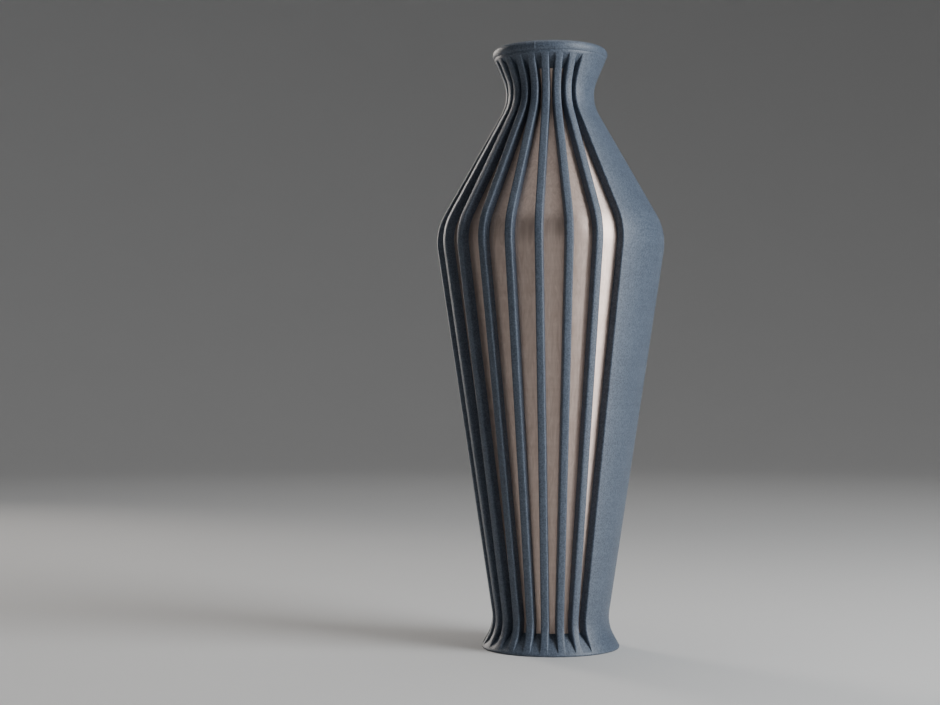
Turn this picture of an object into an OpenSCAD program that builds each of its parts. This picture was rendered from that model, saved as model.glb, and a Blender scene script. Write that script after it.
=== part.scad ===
// Tall slatted vase in two colours: an outer shell, slatted on one half and
// smooth on the other, printed around an inner vase that holds the water.
// The origin is the centre of the foot, on the surface that the vase stands on.
// +Z is up, and the middle slat faces -Y.

/* [Overall] */
// Height of the whole vase
overall_h = 400; // [300:5:500]
// Diameter at the shoulder, the widest place
shoulder_d = 152.5; // [120:0.5:190]

/* [Outline] */
// Diameter of the foot where it meets the table
foot_d = 92; // [82:1:95]
// Diameter of the waist just above the foot
ankle_d = 78; // [75:0.2:88]
// Height of that waist above the table
ankle_h = 20.4; // [19:0.2:30]
// Radius of the hollow curve from the foot into the body
ankle_curve_r = 25; // [15:1:29]
// Distance from the top down to the centre of the shoulder curve
shoulder_drop = 130.6; // [100:0.2:170]
// Radius of the rounded shoulder
shoulder_curve_r = 38; // [15:1:60]
// Diameter of the neck, the narrowest place
neck_d = 59; // [49:0.5:70]
// Distance from the top down to the neck
neck_drop = 31; // [27:0.2:40]
// Radius of the hollow curve at the neck
neck_curve_r = 27; // [10:1:38]
// Diameter of the flare just under the rim
flare_d = 74.6; // [68:0.2:77]

/* [Rim and foot] */
// Outer diameter of the rounded rim
rim_d = 77; // [75:0.2:86]
// Height of the rounded rim
rim_h = 7.4; // [4:0.1:9]
// Thickness of the shell's closed bottom
base_t = 3; // [2:0.5:6]
// Rounding of the foot's lower edge
foot_round_r = 1; // [0.5:0.1:1.5]

/* [Slats] */
// Number of slats on the slatted half
slat_count = 11; // [3:2:11]
// Angle from one slat to the next
slat_pitch = 15; // [13:0.1:15]
// Thickness of a slat, the same over its whole height
slat_t = 5.2; // [4:0.1:6.6]
// How far the slats stand out from the inner vase
slat_depth = 6; // [4:0.1:7]
// Height above the table where the slots reach the shell's surface
slot_start_h = 2; // [1.6:0.1:5]
// Height of the ramp at the bottom of each slot
foot_ramp_h = 11.4; // [8:0.2:18]
// Height of the plain collar between the top of the slots and the rim
collar_h = 0.8; // [0.4:0.1:4]
// Height of the ramp at the top of each slot
rim_ramp_h = 8.8; // [4:0.2:12]

/* [Inner vase] */
// Thickness of the inner vase's wall
wall_t = 2.4; // [1.2:0.2:4]
// Thickness of the inner vase's floor
floor_t = 4; // [2:0.5:8]

/* [Colours] */
// Colour of the outer shell
shell_color = "#66788C"; // [#66788C:Blue grey, #4A4F55:Graphite, #DAD7CF:Chalk]
// Colour of the inner vase
inner_color = "#CDA995"; // [#CDA995:Rose champagne, #B98A5A:Copper, #E7DCC8:Ivory]

/* [Hidden] */
$fn = 96;

// Degrees between the points of an arc in an outline
arc_step = 4;
// How far a cutting shape runs past the surface that it cuts
over = 1;

// Heights that are set by a distance from the top
shoulder_h = overall_h - shoulder_drop;
neck_h = overall_h - neck_drop;
rim_bottom_h = overall_h - rim_h;
slot_end_h = rim_bottom_h - collar_h;

// The outline, from the foot to the rim, as a chain of circles that the
// surface touches. Each is [centre radius, centre height, signed radius], and
// the sign is plus where the surface bulges and minus where it is hollow.
// The first is the rounded edge of the foot, and the last is a point.
OUTLINE = [
    [foot_d / 2 - foot_round_r, foot_round_r, foot_round_r],
    [ankle_d / 2 + ankle_curve_r, ankle_h, -ankle_curve_r],
    [shoulder_d / 2 - shoulder_curve_r, shoulder_h, shoulder_curve_r],
    [neck_d / 2 + neck_curve_r, neck_h, -neck_curve_r],
    [flare_d / 2, rim_bottom_h, 0]
];

// Angle of the outward normal of the straight line that touches circles a and b
function line_normal(a, b) =
    let (across = b[0] - a[0], up = b[1] - a[1], gap = norm([across, up]))
    atan2(-across, up) + asin((a[2] - b[2]) / gap);

// Points on circle c from normal angle a0 to normal angle a1. Those between the
// ends are at whole steps, so that the widest and narrowest points are among them.
function arc_points(c, a0, a1) =
    let (
        turn = sign(a1 - a0) * arc_step,
        inner_steps = [floor(a0 / turn) + 1 : ceil(a1 / turn) - 1],
        angles = concat(a0, [for (i = inner_steps) i * turn], a1)
    )
    [for (a = angles) [c[0] + c[2] * cos(a), c[1] + c[2] * sin(a)]];

// The outline moved inwards by depth, as a list of [radius, height]
function wall_line(depth) =
    let (
        chain = [for (c = OUTLINE) [c[0], c[1], c[2] - depth]],
        last = len(chain) - 1,
        normals = [for (i = [0:last - 1]) line_normal(chain[i], chain[i + 1])]
    )
    concat(
        end_point(chain[0], normals[0], 0),
        [for (i = [1:last - 1]) each arc_points(chain[i], normals[i - 1], normals[i])],
        end_point(chain[last], normals[last - 1], overall_h)
    );

// Where the straight line with this normal, touching circle c, crosses height h
function end_point(c, normal, h) =
    [[c[0] + (c[2] - (h - c[1]) * sin(normal)) / cos(normal), h]];

// Radius of a wall line at height h
function radius_at(line, h) = lookup(h, [for (p = line) [p[1], p[0]]]);

// The stretch of a wall line from height h0 to height h1
function stretch(line, h0, h1) = concat(
    [[radius_at(line, h0), h0]],
    [for (p = line) if (p[1] > h0 && p[1] < h1) p],
    [[radius_at(line, h1), h1]]
);

// The list in the opposite order
function reversed(list) = [for (i = [len(list) - 1:-1:0]) list[i]];

outer_line = wall_line(0);
joint_line = wall_line(slat_depth);
inner_line = wall_line(slat_depth + wall_t);
mouth_r = radius_at(inner_line, rim_bottom_h);

// The round band of the rim and the rounded edge inside the mouth
rim_r = rim_h / 2;
rim_outer_circle = [rim_d / 2 - rim_r, overall_h - rim_r, rim_r];
rim_inner_circle = [mouth_r + rim_r, overall_h - rim_r, rim_r];
rim_start_r = radius_at(outer_line, rim_bottom_h) - rim_outer_circle[0];
rim_start_angle = -acos(min(1, max(0, rim_start_r / rim_r)));

// The shell before its slots are cut: outside, rim, and down the joint line
module shell_blank() {
    joint = stretch(joint_line, base_t, rim_bottom_h);
    side = stretch(outer_line, foot_round_r, rim_bottom_h);
    // The first point of the side is left out, as the foot's rounded edge covers it
    rotate_extrude()
    polygon(concat(
        [[0, 0]],
        arc_points(OUTLINE[0], -90, line_normal(OUTLINE[0], OUTLINE[1])),
        [for (i = [1:len(side) - 1]) side[i]],
        arc_points(rim_outer_circle, rim_start_angle, 90),
        arc_points(rim_inner_circle, 90, 180),
        [[mouth_r, rim_bottom_h]],
        reversed(joint),
        [[0, base_t]]
    ));
}

// Everything outside the inner vase between the two ramps that end the slots
module slot_ring() {
    foot_ramp_top = slot_start_h + foot_ramp_h;
    rim_ramp_bottom = slot_end_h - rim_ramp_h;
    low_out = [radius_at(outer_line, slot_start_h), slot_start_h];
    low_in = [radius_at(joint_line, foot_ramp_top), foot_ramp_top];
    high_in = [radius_at(joint_line, rim_ramp_bottom), rim_ramp_bottom];
    high_out = [radius_at(outer_line, slot_end_h), slot_end_h];
    low_run = (low_in - low_out) / norm(low_in - low_out);
    high_run = (high_out - high_in) / norm(high_out - high_in);
    wall = stretch(joint_line, foot_ramp_top + over, rim_ramp_bottom - over);
    outside_r = shoulder_d / 2 + over;
    rotate_extrude()
    polygon(concat(
        [low_out - low_run * over, low_in],
        [for (p = wall) p - [over, 0]],
        [high_in, high_out + high_run * over],
        [[outside_r, slot_end_h], [outside_r, slot_start_h]]
    ));
}

// Direction at angle a from the front of the vase
function heading(a) = [sin(a), -cos(a)];

// Upright prism between the flanks of two neighbouring slats, whose slot is at angle a.
// The outermost slots end where the flank of one more slat would be, and the smooth
// half of the shell is all the rest.
module slot_wedge(a) {
    reach = overall_h;
    corner = slat_t / 2 / sin(slat_pitch / 2) * heading(a);
    sides = [heading(a - slat_pitch / 2), heading(a + slat_pitch / 2)];
    linear_extrude(overall_h)
    polygon([corner, corner + reach * sides[0], corner + reach * sides[1]]);
}

// Outer shell: foot, slats, smooth half and rim, in one piece
module outer_shell() {
    color(shell_color)
    difference() {
        shell_blank();
        for (i = [0:slat_count])
            intersection() {
                slot_ring();
                slot_wedge((i - slat_count / 2) * slat_pitch);
            }
    }
}

// Inner vase: the closed wall behind the slats, with its floor
module inner_vase() {
    floor_h = base_t + floor_t;
    color(inner_color)
    rotate_extrude()
    polygon(concat(
        [[0, base_t]],
        stretch(joint_line, base_t, rim_bottom_h),
        reversed(stretch(inner_line, floor_h, rim_bottom_h)),
        [[0, floor_h]]
    ));
}

outer_shell();
inner_vase();
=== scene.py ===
"""Looks of the slatted vase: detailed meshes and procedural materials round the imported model.

Lengths are in millimetres in the shape code and become metres when a mesh is made.
The materials' and the lights' lengths are in metres. Angles are in degrees: those round
the vase go from its front (-Y) towards +X, and a normal's angle is the one above level.
"""

import math

import bmesh
import bpy
import numpy as np
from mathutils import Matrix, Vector


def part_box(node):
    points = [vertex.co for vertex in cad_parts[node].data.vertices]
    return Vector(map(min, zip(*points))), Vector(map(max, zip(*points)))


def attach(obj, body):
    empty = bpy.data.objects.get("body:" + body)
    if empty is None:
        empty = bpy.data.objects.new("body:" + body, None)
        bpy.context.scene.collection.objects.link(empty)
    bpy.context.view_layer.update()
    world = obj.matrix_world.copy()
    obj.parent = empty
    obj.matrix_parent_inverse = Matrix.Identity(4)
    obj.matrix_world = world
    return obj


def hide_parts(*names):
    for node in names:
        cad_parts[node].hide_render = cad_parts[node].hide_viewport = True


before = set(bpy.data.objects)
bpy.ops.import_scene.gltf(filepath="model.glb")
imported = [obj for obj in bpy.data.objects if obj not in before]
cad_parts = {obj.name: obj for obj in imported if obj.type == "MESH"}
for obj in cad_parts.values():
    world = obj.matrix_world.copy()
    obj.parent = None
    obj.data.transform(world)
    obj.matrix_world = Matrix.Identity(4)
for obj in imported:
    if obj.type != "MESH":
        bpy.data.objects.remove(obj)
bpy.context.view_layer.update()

MM = 0.001

shell_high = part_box("outer_shell")[1]
inner_low, inner_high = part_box("inner_vase")

# ---------------------------------------------------------------- sizes from the frame
TOTAL_H = shell_high.z / MM
SHOULDER_R = shell_high.x / MM
BASE_T = inner_low.z / MM
RIM_BOTTOM_H = inner_high.z / MM
SLAT_DEPTH = SHOULDER_R - inner_high.x / MM

# ---------------------------------------------------------------- sizes shared with the CAD model
FOOT_R = 46.0
ANKLE_R = 39.0
ANKLE_H = 20.4
ANKLE_CURVE_R = 25.0
SHOULDER_DROP = 130.6
SHOULDER_CURVE_R = 38.0
NECK_R = 29.5
NECK_DROP = 31.0
NECK_CURVE_R = 27.0
FLARE_R = 37.3
RIM_R = 38.5
RIM_H = TOTAL_H - RIM_BOTTOM_H
FOOT_ROUND_R = 1.0
SLAT_COUNT = 11
SLAT_PITCH = 15.0
SLAT_HALF_T = 2.6
SLOT_START_H = 2.0
FOOT_RAMP_H = 11.4
COLLAR_H = 0.8
RIM_RAMP_H = 8.8
WALL_T = 2.4
FLOOR_T = 4.0

# Places that follow from them
PANEL_ANGLE = (SLAT_COUNT + 1) / 2 * SLAT_PITCH
FOOT_RAMP_TOP = SLOT_START_H + FOOT_RAMP_H
SLOT_END_H = RIM_BOTTOM_H - COLLAR_H
RIM_RAMP_BOTTOM = SLOT_END_H - RIM_RAMP_H

# ---------------------------------------------------------------- finer shapes, added here
SLAT_EDGE_R = 1.1          # rounding along the outer edges of slats and smooth half
EDGE_R_SHARE = 0.45        # the most of a slot's depth that this rounding takes up
FLOOR_CORNER_R = 5.0       # rounding inside the vase, between floor and wall
SEAM_ANGLE = 35.0          # where the layers start and stop, above a slat's edge
SEAM_HALF_W = 0.7
SEAM_HALF_H = 0.35
SEAM_SUNK = 0.1            # how far the middle of the bead lies inside the rim's surface
SEAM_START = -75.0         # normal angles on the rim, where the bead starts and ends
SEAM_END = 80.0

# ---------------------------------------------------------------- fineness of the meshes
LINE_ARC_STEP = 0.5        # degrees between points, on the curves of the outline,
FOOT_ARC_STEP = 12.0       # the foot's rounding,
RIM_ARC_STEP = 9.0         # the rim,
CORNER_ARC_STEP = 15.0     # the corner inside the vase,
STAGE_ARC_STEP = 6.0       # and the stage
RING_STEP = 3.0            # distance between rings where the inner vase shows in the slots
RAMP_STEP = 0.8            # distance between rings on the ramps
FIRST_RING_GAP = 0.4       # from the foot's rounding up to the first ring above it
LEAST_RING_GAP = 0.05      # rings closer together than this become one
SAME_HEIGHT = 1e-6
WELD_DISTANCE = 1e-6       # metres
SHELL_SHARP_ANGLE = 38.0   # a corner sharper than this stays sharp
INNER_SHARP_ANGLE = 50.0
STAGE_SHARP_ANGLE = 60.0
FLANK_CUTS = 2
EDGE_CUTS = 4
FACE_CUTS = 2
FLOOR_CUTS = 5
PANEL_CUTS = 72
INNER_COLUMNS = 240
STAGE_COLUMNS = 128
SEAM_RINGS = 15
SEAM_COLUMNS = 10


# ---------------------------------------------------------------- outline of the vase
# A chain of circles that the surface touches: centre radius, centre height and
# signed radius, plus where the surface bulges and minus where it is hollow.
OUTLINE = [
    (FOOT_R - FOOT_ROUND_R, FOOT_ROUND_R, FOOT_ROUND_R),
    (ANKLE_R + ANKLE_CURVE_R, ANKLE_H, -ANKLE_CURVE_R),
    (SHOULDER_R - SHOULDER_CURVE_R, TOTAL_H - SHOULDER_DROP, SHOULDER_CURVE_R),
    (NECK_R + NECK_CURVE_R, TOTAL_H - NECK_DROP, -NECK_CURVE_R),
    (FLARE_R, RIM_BOTTOM_H, 0.0),
]


def line_normal(a, b):
    """Outward normal angle of the straight line that touches circles a and b."""
    across, up = b[0] - a[0], b[1] - a[1]
    tilt = math.asin((a[2] - b[2]) / math.hypot(across, up))
    return math.degrees(math.atan2(-across, up) + tilt)


def arc_points(circle, start, end, step):
    """Points on a circle from one normal angle to another, at most step degrees apart."""
    count = max(2, math.ceil(abs(end - start) / step) + 1)
    angles = np.radians(np.linspace(start, end, count))
    return [(circle[0] + circle[2] * math.cos(a), circle[1] + circle[2] * math.sin(a)) for a in angles]


def crossing(circle, normal, height):
    """Where the straight line with this normal, touching a circle, crosses a height."""
    a = math.radians(normal)
    return ((circle[0] + (circle[2] - (height - circle[1]) * math.sin(a)) / math.cos(a)), height)


def wall_line(depth):
    """The outline moved inwards by depth, as finely spaced (radius, height) points."""
    chain = [(r, h, bend - depth) for r, h, bend in OUTLINE]
    normals = [line_normal(a, b) for a, b in zip(chain, chain[1:])]
    points = [crossing(chain[0], normals[0], 0.0)]
    for circle, before, after in zip(chain[1:-1], normals, normals[1:]):
        points += arc_points(circle, before, after, LINE_ARC_STEP)
    points.append(crossing(chain[-1], normals[-1], TOTAL_H))
    return np.array(points)


OUTER_LINE = wall_line(0.0)
JOINT_LINE = wall_line(SLAT_DEPTH)
INNER_LINE = wall_line(SLAT_DEPTH + WALL_T)


def radius_at(line, height):
    return float(np.interp(height, line[:, 1], line[:, 0]))


MOUTH_R = radius_at(INNER_LINE, RIM_BOTTOM_H)
FOOT_NORMAL = line_normal(OUTLINE[0], OUTLINE[1])


def slot_floor(height):
    """Radius of the bottom of a slot: the inner vase, or a ramp, or no slot at all."""
    outer = radius_at(OUTER_LINE, height)
    if height <= SLOT_START_H or height >= SLOT_END_H:
        return outer
    low = (radius_at(OUTER_LINE, SLOT_START_H), SLOT_START_H)
    low_in = (radius_at(JOINT_LINE, FOOT_RAMP_TOP), FOOT_RAMP_TOP)
    high_in = (radius_at(JOINT_LINE, RIM_RAMP_BOTTOM), RIM_RAMP_BOTTOM)
    high = (radius_at(OUTER_LINE, SLOT_END_H), SLOT_END_H)
    if height < FOOT_RAMP_TOP:
        return float(np.interp(height, (low[1], low_in[1]), (low[0], low_in[0])))
    if height > RIM_RAMP_BOTTOM:
        return float(np.interp(height, (high_in[1], high[1]), (high_in[0], high[0])))
    return radius_at(JOINT_LINE, height)


def slot_is_open(height):
    """True where the inner vase shows at the bottom of the slots."""
    return FOOT_RAMP_TOP - SAME_HEIGHT <= height <= RIM_RAMP_BOTTOM + SAME_HEIGHT


def ring_heights():
    """Heights of the shell's rings, from the foot's rounding to the rim, closer on the ramps."""
    fixed = [SLOT_START_H, FOOT_RAMP_TOP, RIM_RAMP_BOTTOM, SLOT_END_H, RIM_BOTTOM_H]
    heights = set(fixed)
    foot_top = FOOT_ROUND_R * (1 + math.sin(math.radians(FOOT_NORMAL)))
    spans = [
        (foot_top + FIRST_RING_GAP, FOOT_RAMP_TOP, RAMP_STEP),
        (FOOT_RAMP_TOP, RIM_RAMP_BOTTOM, RING_STEP),
        (RIM_RAMP_BOTTOM, RIM_BOTTOM_H, RAMP_STEP),
    ]
    for low, high, step in spans:
        heights.update(np.linspace(low, high, math.ceil((high - low) / step) + 1))
    ordered = []
    for h in sorted(float(h) for h in heights):
        if not ordered or h - ordered[-1] > LEAST_RING_GAP:
            ordered.append(h)
        elif any(abs(h - f) < SAME_HEIGHT for f in fixed):
            ordered[-1] = h
    return ordered


# ---------------------------------------------------------------- cross-section of the shell
def to_plan(angle, sideways, outwards):
    """Plan position of a point given beside and along the direction at an angle from the front."""
    a = math.radians(angle)
    along, across = (math.sin(a), -math.cos(a)), (math.cos(a), math.sin(a))
    return (outwards * along[0] + sideways * across[0], outwards * along[1] + sideways * across[1])


def on_circle(angle, radius):
    return to_plan(angle, 0.0, radius)


def edge_points(angle, half_t, outer, floor, mirror):
    """Up a flank and round its outer edge. mirror is -1 for the flank on the low-angle side."""
    edge_r = min(SLAT_EDGE_R, EDGE_R_SHARE * max(0.0, outer - floor))
    side = half_t - edge_r
    centre = math.sqrt((outer - edge_r) ** 2 - side ** 2)
    foot = math.sqrt(max(floor ** 2 - half_t ** 2, 0.0))
    points = [(half_t, u) for u in np.linspace(foot, centre, FLANK_CUTS + 1)]
    last = math.atan2(centre, side)
    for t in np.linspace(0.0, last, EDGE_CUTS + 1)[1:]:
        points.append((side + edge_r * math.cos(t), centre + edge_r * math.sin(t)))
    return [to_plan(angle, mirror * v, u) for v, u in points]


def arc_between(a, b, cuts, radius):
    """Points strictly between two plan points, along a circle round the axis."""
    turn_a = math.degrees(math.atan2(a[0], -a[1]))
    turn_b = math.degrees(math.atan2(b[0], -b[1]))
    if turn_b < turn_a:
        turn_b += 360.0
    return [on_circle(t, radius) for t in np.linspace(turn_a, turn_b, cuts + 1)[1:-1]]


def wall_blocks(outer, floor):
    """The walls between the slots, each from flank to flank: the slats, then the smooth half."""
    blocks = []
    for i in range(SLAT_COUNT):
        angle = (i - (SLAT_COUNT - 1) / 2) * SLAT_PITCH
        start = edge_points(angle, SLAT_HALF_T, outer, floor, -1)
        end = edge_points(angle, SLAT_HALF_T, outer, floor, 1)
        blocks.append(start + arc_between(start[-1], end[-1], FACE_CUTS, outer) + end[::-1])
    start = edge_points(PANEL_ANGLE, SLAT_HALF_T, outer, floor, -1)
    end = edge_points(-PANEL_ANGLE, SLAT_HALF_T, outer, floor, 1)
    blocks.append(start + arc_between(start[-1], end[-1], PANEL_CUTS, outer) + end[::-1])
    return blocks


def spread_evenly(block, radius):
    """A block's points laid evenly along a circle between its two ends."""
    return [block[0]] + arc_between(block[0], block[-1], len(block) - 1, radius) + [block[-1]]


def closed_ring(blocks, floor):
    """Plan points once round the shell: each block, then the floor of the slot after it."""
    ring = []
    for block, following in zip(blocks, blocks[1:] + blocks[:1]):
        ring += block + arc_between(block[-1], following[0], FLOOR_CUTS, floor)
    return ring


def outer_ring(radius, floor):
    """Plan points of the shell's outside, where the slots' floor is at its own radius."""
    return closed_ring(wall_blocks(radius, floor), floor)


def joint_ring(radius):
    """Plan points of the shell's inside, in the same columns as the outside's."""
    blocks = [spread_evenly(b, radius) for b in wall_blocks(radius, radius)]
    return closed_ring(blocks, radius)


def floor_columns():
    """For each column of a ring, whether the stretch to the next column is a slot's floor."""
    flags = []
    for block in wall_blocks(SHOULDER_R, SHOULDER_R - SLAT_DEPTH):
        flags += [False] * (len(block) - 1) + [True] * FLOOR_CUTS
    return flags


# ---------------------------------------------------------------- meshes
def finish_mesh(name, bm, sharp_angle):
    """Turns a bmesh into a smooth-shaded object, with its real corners kept sharp."""
    bmesh.ops.recalc_face_normals(bm, faces=bm.faces)
    mesh = bpy.data.meshes.new(name)
    bm.to_mesh(mesh)
    bm.free()
    mesh.shade_smooth()
    mesh.set_sharp_from_angle(angle=math.radians(sharp_angle))
    piece = bpy.data.objects.new(name, mesh)
    bpy.context.scene.collection.objects.link(piece)
    return piece


def add_rings(bm, rings, skip=lambda ring, column: False):
    """Joins rings of (plan points, height) with quads, and returns their vertices."""
    rows = [[bm.verts.new((x * MM, y * MM, h * MM)) for x, y in points] for points, h in rings]
    count = len(rows[0])
    for i in range(len(rows) - 1):
        for j in range(count):
            if not skip(i, j):
                k = (j + 1) % count
                bm.faces.new((rows[i][j], rows[i][k], rows[i + 1][k], rows[i + 1][j]))
    return rows


def add_cap(bm, row, height):
    """Closes a ring with a fan of triangles round the axis."""
    centre = bm.verts.new((0.0, 0.0, height * MM))
    for a, b in zip(row, row[1:] + row[:1]):
        bm.faces.new((a, b, centre))


def shell_rings():
    """Rings of the shell from under the foot, up the outside, over the rim and down the joint."""
    rounding = arc_points(OUTLINE[0], -90.0, FOOT_NORMAL, FOOT_ARC_STEP)
    foot = [(outer_ring(r, r), h) for r, h in rounding]
    heights = ring_heights()
    outside = [(outer_ring(radius_at(OUTER_LINE, h), slot_floor(h)), h) for h in heights]
    rim_r = RIM_H / 2
    rim_out = (RIM_R - rim_r, TOTAL_H - rim_r, rim_r)
    rim_in = (MOUTH_R + rim_r, TOTAL_H - rim_r, rim_r)
    reach = radius_at(OUTER_LINE, RIM_BOTTOM_H) - rim_out[0]
    start = -math.degrees(math.acos(min(1.0, max(0.0, reach / rim_r))))
    over = arc_points(rim_out, start, 90.0, RIM_ARC_STEP) + arc_points(rim_in, 90.0, 180.0, RIM_ARC_STEP)
    over.append((MOUTH_R, RIM_BOTTOM_H))
    rim = [(outer_ring(r, r), h) for r, h in over]
    between = [h for h in heights[::-1] if BASE_T < h < RIM_BOTTOM_H]
    joint_heights = [RIM_BOTTOM_H] + between + [BASE_T]
    joint = [(joint_ring(radius_at(JOINT_LINE, h)), h) for h in joint_heights]
    return foot + outside + rim + joint


def make_shell():
    """Foot, slats, smooth half and rim as one closed surface, open between the slats."""
    bm = bmesh.new()
    rings = shell_rings()
    floors = floor_columns()
    opened = [slot_is_open(h) for _, h in rings]
    rows = add_rings(bm, rings, lambda i, j: floors[j] and opened[i] and opened[i + 1])
    add_cap(bm, rows[0], 0.0)
    add_cap(bm, rows[-1], BASE_T)
    bmesh.ops.remove_doubles(bm, verts=bm.verts, dist=WELD_DISTANCE)
    bmesh.ops.delete(bm, geom=[v for v in bm.verts if not v.link_faces], context="VERTS")
    add_seam(bm)
    return finish_mesh("outer_shell_print", bm, SHELL_SHARP_ANGLE)


def add_seam(bm):
    """The slight upright bead on the rim where each layer of the print starts and stops."""
    rim_r = RIM_H / 2
    rows = []
    for t in np.linspace(SEAM_START, SEAM_END, SEAM_RINGS):
        a = math.radians(t)
        swell = math.cos(math.radians(t)) ** 0.5
        row = []
        for k in range(SEAM_COLUMNS):
            b = 2 * math.pi * k / SEAM_COLUMNS
            out = rim_r + SEAM_HALF_H * swell * math.sin(b) - SEAM_SUNK
            side = SEAM_HALF_W * swell * math.cos(b)
            outwards = RIM_R - rim_r + out * math.cos(a)
            x, y = to_plan(SEAM_ANGLE, side, outwards)
            row.append(bm.verts.new((x * MM, y * MM, (TOTAL_H - rim_r + out * math.sin(a)) * MM)))
        rows.append(row)
    for lower, upper in zip(rows, rows[1:]):
        for k in range(SEAM_COLUMNS):
            m = (k + 1) % SEAM_COLUMNS
            bm.faces.new((lower[k], lower[m], upper[m], upper[k]))
    bm.faces.new(rows[0])
    bm.faces.new(rows[-1])


def make_inner_vase():
    """The wall behind the slats, with a rounded corner where it meets the floor."""
    heights = [BASE_T] + [h for h in ring_heights() if h > BASE_T]
    outside = [(radius_at(JOINT_LINE, h), h) for h in heights]
    floor_h = BASE_T + FLOOR_T
    corner_h = floor_h + FLOOR_CORNER_R
    corner = (radius_at(INNER_LINE, corner_h) - FLOOR_CORNER_R, corner_h, FLOOR_CORNER_R)
    inside = [(radius_at(INNER_LINE, h), h) for h in heights[::-1] if h > corner_h]
    profile = outside + inside + arc_points(corner, 0.0, -90.0, CORNER_ARC_STEP)
    turns = np.linspace(0.0, 360.0, INNER_COLUMNS + 1)[:-1]
    rings = [([on_circle(t, r) for t in turns], h) for r, h in profile]
    bm = bmesh.new()
    rows = add_rings(bm, rings)
    add_cap(bm, rows[0], BASE_T)
    add_cap(bm, rows[-1], floor_h)
    return finish_mesh("inner_vase_print", bm, INNER_SHARP_ANGLE)


# ---------------------------------------------------------------- materials
class Nodes:
    """Short names for building one node material."""

    def __init__(self, name):
        self.material = bpy.data.materials.new(name)
        self.material.use_nodes = True
        self.tree = self.material.node_tree
        self.tree.nodes.clear()
        self.shader = self.add("ShaderNodeBsdfPrincipled")
        output = self.add("ShaderNodeOutputMaterial")
        self.link(self.shader.outputs["BSDF"], output.inputs["Surface"])
        self.place = self.add("ShaderNodeTexCoord").outputs["Object"]

    def add(self, kind, **settings):
        node = self.tree.nodes.new(kind)
        for key, value in settings.items():
            setattr(node, key, value)
        return node

    def link(self, source, target):
        self.tree.links.new(source, target)

    def stretched(self, waves):
        """Object coordinates, scaled so that a noise has this many waves in a metre along x, y and z."""
        node = self.add("ShaderNodeVectorMath", operation="MULTIPLY")
        self.link(self.place, node.inputs[0])
        node.inputs[1].default_value = waves
        return node.outputs["Vector"]

    def noise(self, vector, detail=2.0, distortion=0.0):
        node = self.add("ShaderNodeTexNoise")
        self.link(vector, node.inputs["Vector"])
        node.inputs["Scale"].default_value = 1.0
        node.inputs["Detail"].default_value = detail
        node.inputs["Distortion"].default_value = distortion
        return node.outputs["Fac"]

    def ranged(self, value, low, high, from_low=0.3, from_high=0.7):
        """value, moved from its own range to the one from low to high."""
        node = self.add("ShaderNodeMapRange")
        self.link(value, node.inputs["Value"])
        limits = {"From Min": from_low, "From Max": from_high, "To Min": low, "To Max": high}
        for key, number in limits.items():
            node.inputs[key].default_value = number
        return node.outputs["Result"]

    def math(self, operation, a, b=None):
        node = self.add("ShaderNodeMath", operation=operation)
        for socket, value in zip(node.inputs, (a, b)):
            if isinstance(value, (int, float)):
                socket.default_value = value
            elif value is not None:
                self.link(value, socket)
        return node.outputs["Value"]

    def mixed(self, one, other):
        """The sum of two (value, share) pairs, each value times its share."""
        return self.math("ADD", self.math("MULTIPLY", *one), self.math("MULTIPLY", *other))

    def tinted(self, dark, light, factor):
        """A colour between dark and light."""
        node = self.add("ShaderNodeMix", data_type="RGBA")
        node.inputs["A"].default_value = (*dark, 1.0)
        node.inputs["B"].default_value = (*light, 1.0)
        self.link(factor, node.inputs["Factor"])
        return node.outputs["Result"]

    def bump(self, height, distance, normal=None):
        """distance is the relief in metres that a height of one stands for."""
        node = self.add("ShaderNodeBump")
        node.inputs["Strength"].default_value = 1.0
        node.inputs["Distance"].default_value = distance
        self.link(height, node.inputs["Height"])
        if normal is not None:
            self.link(normal, node.inputs["Normal"])
        return node.outputs["Normal"]

    def layer_lines(self, pitch):
        """Ridges of the print's layers, one every pitch metres, as a height from 0 to 1."""
        split = self.add("ShaderNodeSeparateXYZ")
        self.link(self.place, split.inputs["Vector"])
        turns = self.math("MULTIPLY", split.outputs["Z"], 2 * math.pi / pitch)
        return self.math("MULTIPLY_ADD", self.math("SINE", turns), 0.5)

    def brushed_round(self, amount):
        """Layers run round the vase, so highlights stretch upwards, across them."""
        tangent = self.add("ShaderNodeTangent", direction_type="RADIAL", axis="Z")
        self.link(tangent.outputs["Tangent"], self.shader.inputs["Tangent"])
        self.shader.inputs["Anisotropic"].default_value = amount
        self.shader.inputs["Anisotropic Rotation"].default_value = QUARTER_TURN


QUARTER_TURN = 0.25
LAYER_PITCH = 0.0002

SHELL_DARK = (0.044, 0.059, 0.085)
SHELL_LIGHT = (0.098, 0.124, 0.166)
SHELL_TONES = (0.40, 0.60)             # values of the mixed noise that give dark and light
SHELL_ROUGHNESS = (0.42, 0.54)
SHELL_GRAIN_WAVES = (1000.0, 1000.0, 1000.0)
SHELL_LAYER_WAVES = (14.0, 14.0, 700.0)
SHELL_PATCH_WAVES = (30.0, 30.0, 55.0)
SHELL_GRAIN_SHARE = 0.78               # each pattern's share of the tone
SHELL_LAYER_SHARE = 0.12
SHELL_PATCH_SHARE = 0.1
SHELL_LINE_RELIEF = 0.000012           # metres, as are the two below
SHELL_LAYER_RELIEF = 0.00003
SHELL_GRAIN_RELIEF = 0.00022
SHELL_SPECULAR = 0.6
SHELL_BRUSHING = 0.55

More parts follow.
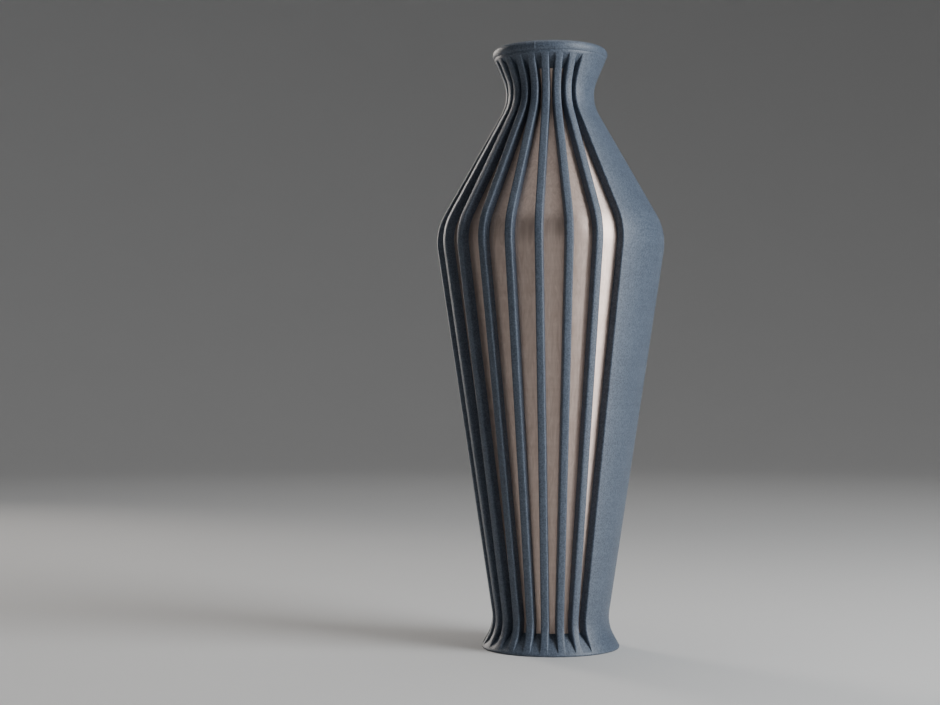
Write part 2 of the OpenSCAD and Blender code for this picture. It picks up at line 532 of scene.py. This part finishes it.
INNER_DARK = (0.52, 0.39, 0.33)
INNER_LIGHT = (0.70, 0.56, 0.49)
INNER_ROUGHNESS = (0.37, 0.45)
# Painted sheen: flame-like streaks in the base colour stand for the silk's wavy reflections; the same
# pattern also varies the roughness.
INNER_SHEEN_STREAK_WAVES = (300.0, 300.0, 32.0)
INNER_LAYER_WAVES = (10.0, 10.0, 500.0)
INNER_SHEEN_STREAK_SHARE = 0.8
INNER_LAYER_SHARE = 0.2
INNER_LINE_RELIEF = 0.000008
INNER_METALLIC = 0.75
INNER_SPECULAR = 0.7
INNER_BRUSHING = 0.7

FLOOR_COLOUR = (0.62, 0.61, 0.60)
FLOOR_LIGHTER = 1.02                   # how many times lighter its light patches are
FLOOR_ROUGHNESS = 0.8
FLOOR_MOTTLE_WAVES = (6.0, 6.0, 6.0)


def shell_material():
    """Matte blue-grey print: sandy grain, faint tone changes from layer to layer."""
    n = Nodes("matte_blue_grey_print")
    grain = n.noise(n.stretched(SHELL_GRAIN_WAVES), detail=4.0)
    layers = n.noise(n.stretched(SHELL_LAYER_WAVES), detail=3.0)
    patches = n.noise(n.stretched(SHELL_PATCH_WAVES), detail=4.0)
    tone = n.mixed((grain, SHELL_GRAIN_SHARE), (layers, SHELL_LAYER_SHARE))
    tone = n.math("ADD", tone, n.math("MULTIPLY", patches, SHELL_PATCH_SHARE))
    colour = n.tinted(SHELL_DARK, SHELL_LIGHT, n.ranged(tone, 0.0, 1.0, *SHELL_TONES))
    n.link(colour, n.shader.inputs["Base Color"])
    n.link(n.ranged(grain, *SHELL_ROUGHNESS), n.shader.inputs["Roughness"])
    relief = n.bump(n.layer_lines(LAYER_PITCH), SHELL_LINE_RELIEF)
    relief = n.bump(layers, SHELL_LAYER_RELIEF, relief)
    n.link(n.bump(grain, SHELL_GRAIN_RELIEF, relief), n.shader.inputs["Normal"])
    n.shader.inputs["Specular IOR Level"].default_value = SHELL_SPECULAR
    n.brushed_round(SHELL_BRUSHING)
    return n.material


def inner_material():
    """Silky rose champagne print: strong upright sheen, and painted sheen as flame-like streaks in its
    colour.
    """
    n = Nodes("silk_rose_champagne_print")
    sheen_streaks = n.noise(n.stretched(INNER_SHEEN_STREAK_WAVES), detail=2.0, distortion=2.2)
    layers = n.noise(n.stretched(INNER_LAYER_WAVES), detail=2.0)
    # The colour mixes painted sheen streaks with a little tone change from layer to layer.
    tone = n.mixed((sheen_streaks, INNER_SHEEN_STREAK_SHARE), (layers, INNER_LAYER_SHARE))
    n.link(n.tinted(INNER_DARK, INNER_LIGHT, n.ranged(tone, 0.0, 1.0)), n.shader.inputs["Base Color"])
    n.link(n.ranged(sheen_streaks, *INNER_ROUGHNESS), n.shader.inputs["Roughness"])
    n.link(n.bump(n.layer_lines(LAYER_PITCH), INNER_LINE_RELIEF), n.shader.inputs["Normal"])
    n.shader.inputs["Metallic"].default_value = INNER_METALLIC
    n.shader.inputs["Specular IOR Level"].default_value = INNER_SPECULAR
    n.brushed_round(INNER_BRUSHING)
    return n.material


def floor_material():
    """Plain pale floor, with hardly visible patches."""
    n = Nodes("pale_floor")
    mottle = n.noise(n.stretched(FLOOR_MOTTLE_WAVES))
    lighter = tuple(min(1.0, c * FLOOR_LIGHTER) for c in FLOOR_COLOUR)
    n.link(n.tinted(FLOOR_COLOUR, lighter, mottle), n.shader.inputs["Base Color"])
    n.shader.inputs["Roughness"].default_value = FLOOR_ROUGHNESS
    return n.material


# ---------------------------------------------------------------- stage, light and camera
VIEW_ANGLE = 50.5          # the camera's place round the vase
CAMERA_DISTANCE = 2.794    # in heights of the vase, as are the three below
CAMERA_HEIGHT = 0.439
AIM_ASIDE = 0.1348
AIM_HEIGHT = 0.4916
LENS_MM = 63.7
SENSOR_MM = 36.0
CLIP_START = 0.01          # metres
STAGE_R = 4500.0           # millimetres, as are the two below
STAGE_CURVE_R = 2200.0
STAGE_H = 5000.0
SKY_COLOUR = (0.80, 0.84, 0.90)
SKY_STRENGTH = 0.08


def direction(angle):
    """Level unit vector at an angle from the front of the vase."""
    a = math.radians(angle)
    return Vector((math.sin(a), -math.cos(a), 0.0))


def make_camera(height):
    data = bpy.data.cameras.new("camera")
    data.lens = LENS_MM
    data.sensor_width = SENSOR_MM
    data.clip_start = CLIP_START
    camera = bpy.data.objects.new("camera", data)
    away = direction(VIEW_ANGLE) * CAMERA_DISTANCE * height
    aside = direction(VIEW_ANGLE - 90.0) * AIM_ASIDE * height
    camera.location = away + Vector((0, 0, CAMERA_HEIGHT * height))
    aim = aside + Vector((0, 0, AIM_HEIGHT * height))
    camera.rotation_euler = (aim - camera.location).to_track_quat("-Z", "Y").to_euler()
    bpy.context.scene.collection.objects.link(camera)
    bpy.context.scene.camera = camera


def make_light(name, angle, distance, height, size, power, colour, spread=180.0):
    """A rectangular soft box aimed at the middle of the vase.

    angle is from the camera, to its right. distance is from the axis, and height from the floor.
    A spread below 180 degrees narrows the beam.
    """
    data = bpy.data.lights.new(name, "AREA")
    data.shape = "RECTANGLE"
    data.size, data.size_y = size
    data.energy = power
    data.spread = math.radians(spread)
    data.color = colour
    light = bpy.data.objects.new(name, data)
    light.location = direction(VIEW_ANGLE + angle) * distance + Vector((0, 0, height))
    middle = Vector((0, 0, TOTAL_H * MM / 2))
    light.rotation_euler = (middle - light.location).to_track_quat("-Z", "Y").to_euler()
    bpy.context.scene.collection.objects.link(light)


def make_stage():
    """A plain pale floor that curves up into a round backdrop, far from the vase."""
    curve = (STAGE_R - STAGE_CURVE_R, STAGE_CURVE_R, STAGE_CURVE_R)
    profile = arc_points(curve, -90.0, 0.0, STAGE_ARC_STEP) + [(STAGE_R, STAGE_H)]
    turns = np.linspace(0.0, 360.0, STAGE_COLUMNS + 1)[:-1]
    bm = bmesh.new()
    rows = add_rings(bm, [([on_circle(t, r) for t in turns], h) for r, h in profile])
    bm.faces.new(rows[0])
    floor = finish_mesh("floor", bm, STAGE_SHARP_ANGLE)
    floor.data.materials.append(floor_material())


def make_world():
    """Faint even light from all round."""
    world = bpy.data.worlds.new("studio")
    world.use_nodes = True
    background = world.node_tree.nodes["Background"]
    background.inputs["Color"].default_value = (*SKY_COLOUR, 1.0)
    background.inputs["Strength"].default_value = SKY_STRENGTH
    bpy.context.scene.world = world


# ---------------------------------------------------------------- the scene
def add_piece(piece, node, material):
    piece.data.materials.append(material)
    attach(piece, "root")
    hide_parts(node)


make_camera(TOTAL_H * MM)
add_piece(make_shell(), "outer_shell", shell_material())
add_piece(make_inner_vase(), "inner_vase", inner_material())
make_stage()
make_world()
make_light(
    "key", angle=63.0, distance=1.3, height=0.65, size=(0.75, 1.2),
    power=31.0, colour=(0.93, 0.97, 1.0))
make_light(
    "top", angle=180.0, distance=0.4, height=2.6, size=(2.4, 2.4),
    power=24.0, colour=(1.0, 1.0, 1.0))
make_light(
    "rim", angle=-142.0, distance=1.8, height=0.75, size=(0.4, 1.0),
    power=1.4, colour=(1.0, 0.93, 0.86), spread=50.0)
